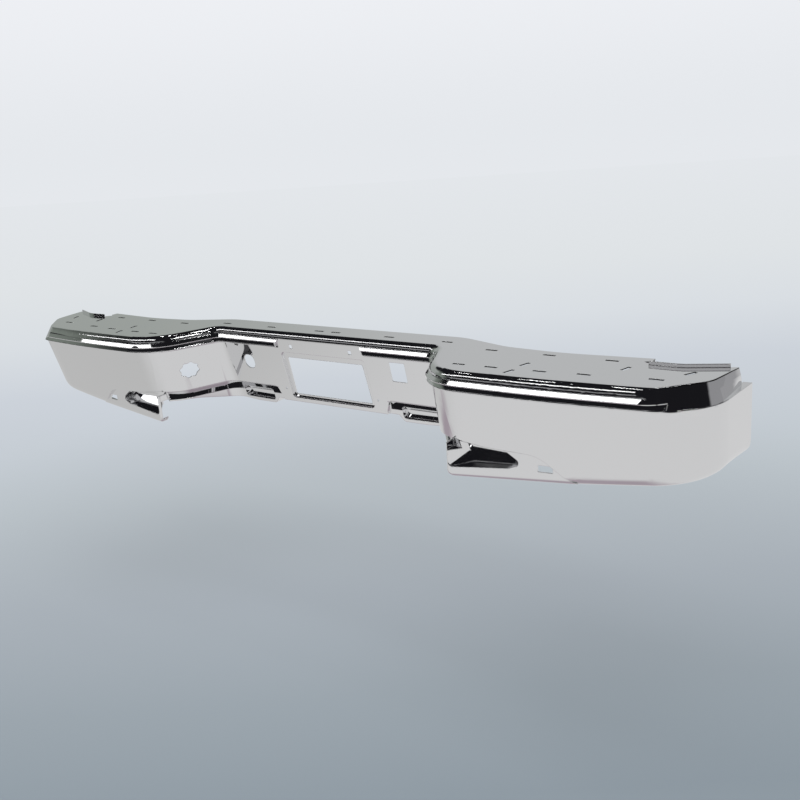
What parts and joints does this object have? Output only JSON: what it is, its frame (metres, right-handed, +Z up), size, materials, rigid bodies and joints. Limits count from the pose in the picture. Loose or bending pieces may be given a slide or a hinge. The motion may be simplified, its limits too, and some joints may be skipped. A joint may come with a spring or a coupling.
{
  "type": "truck step bumper face bar",
  "caption": "Chrome rear step bumper: wide step ends with clip slots, recessed middle with a number plate opening, raised bead and rolled lower edge.",
  "frame": {"origin": "on the middle plane, level with the top of the tread, in line with the middle row of clip slots, at the mount that carries the bar", "axes": "+X along the bar to the right seen from behind the truck, +Y forward towards the truck, +Z up"},
  "size_m": [1.8954, 0.2862, 0.2371],
  "materials": {
    "chrome": "polished chrome plating"
  },
  "bodies": {
    "root": {"face_bar": "chrome"}
  },
  "joints": []
}
